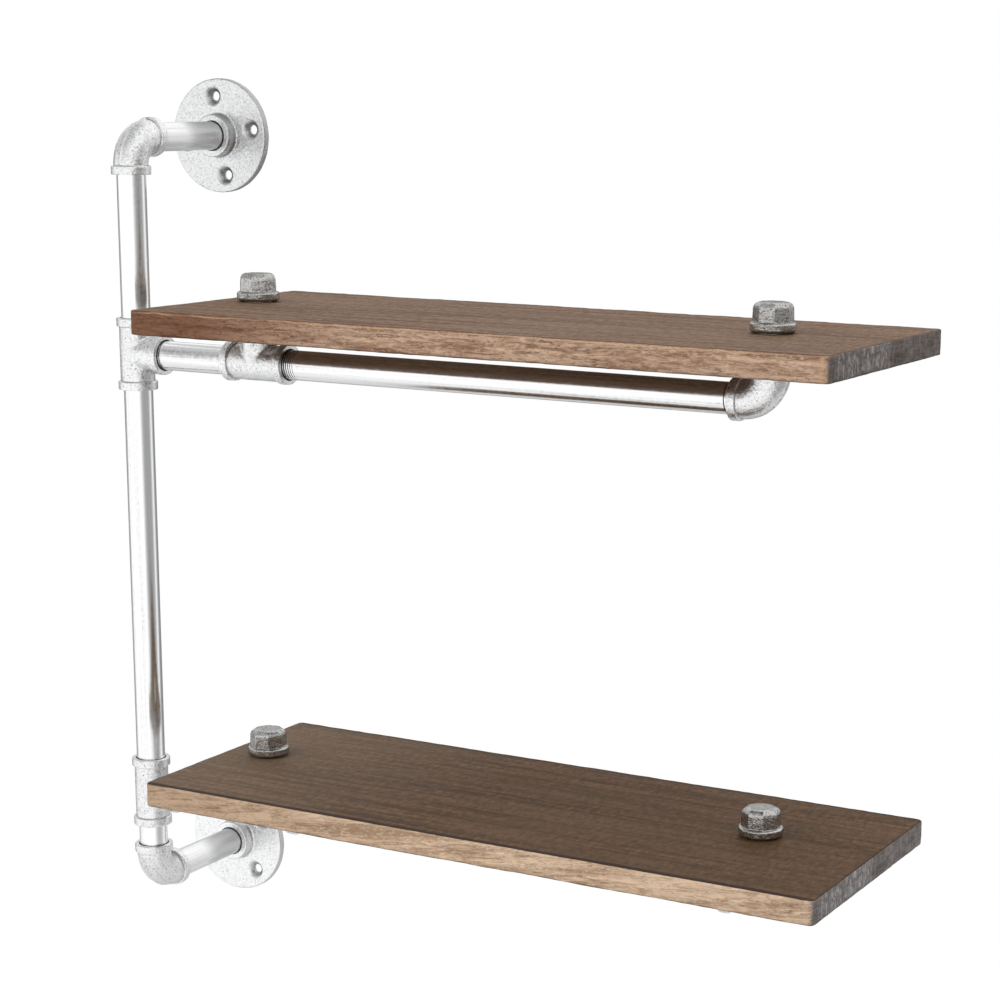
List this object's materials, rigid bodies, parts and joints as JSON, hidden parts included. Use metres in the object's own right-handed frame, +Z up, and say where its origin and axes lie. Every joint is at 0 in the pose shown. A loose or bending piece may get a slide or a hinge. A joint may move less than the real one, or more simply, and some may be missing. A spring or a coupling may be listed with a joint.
{
  "type": "pipe wall shelving unit",
  "caption": "Wall-mounted shelving unit: wooden boards held by screwed caps on arms of galvanised pipe that branch from one upright pipe column on round wall flanges.",
  "frame": {"origin": "centre of the upper flange's screw circle, on the wall", "axes": "+X along the boards away from the column, +Y into the wall, +Z up"},
  "size_m": [0.641, 0.218, 0.649],
  "materials": {
    "zinc_pipe": "smooth galvanised, bright with grey streaks",
    "zinc_casting": "rough casting, hot-dip galvanised",
    "cap_casting": "rough pitted casting, dull galvanised",
    "upper_wood": "stained and worn, grey-brown top and reddish-brown edge",
    "lower_wood": "stained and worn, dark brown top and tan edge"
  },
  "bodies": {
    "root": {"upper_flange": "zinc_casting", "lower_flange": "zinc_casting", "upper_wall_pipe": "zinc_pipe", "lower_wall_pipe": "zinc_pipe", "upper_wall_elbow": "zinc_casting", "lower_wall_elbow": "zinc_casting", "upper_column_pipe": "zinc_pipe", "middle_column_pipe": "zinc_pipe", "lower_column_nipple": "zinc_pipe", "upper_column_tee": "zinc_casting", "lower_column_tee": "zinc_casting", "upper_arm_nipple": "zinc_pipe", "lower_arm_nipple": "zinc_pipe", "upper_arm_tee": "zinc_casting", "lower_arm_tee": "zinc_casting", "upper_arm_pipe": "zinc_pipe", "lower_arm_pipe": "zinc_pipe", "upper_arm_elbow": "zinc_casting", "lower_arm_elbow": "zinc_casting", "upper_left_riser": "zinc_pipe", "upper_right_riser": "zinc_pipe", "lower_left_riser": "zinc_pipe", "lower_right_riser": "zinc_pipe", "upper_board": "upper_wood", "lower_board": "lower_wood", "upper_left_cap": "cap_casting", "upper_right_cap": "cap_casting", "lower_left_cap": "cap_casting", "lower_right_cap": "cap_casting"}
  },
  "joints": []
}
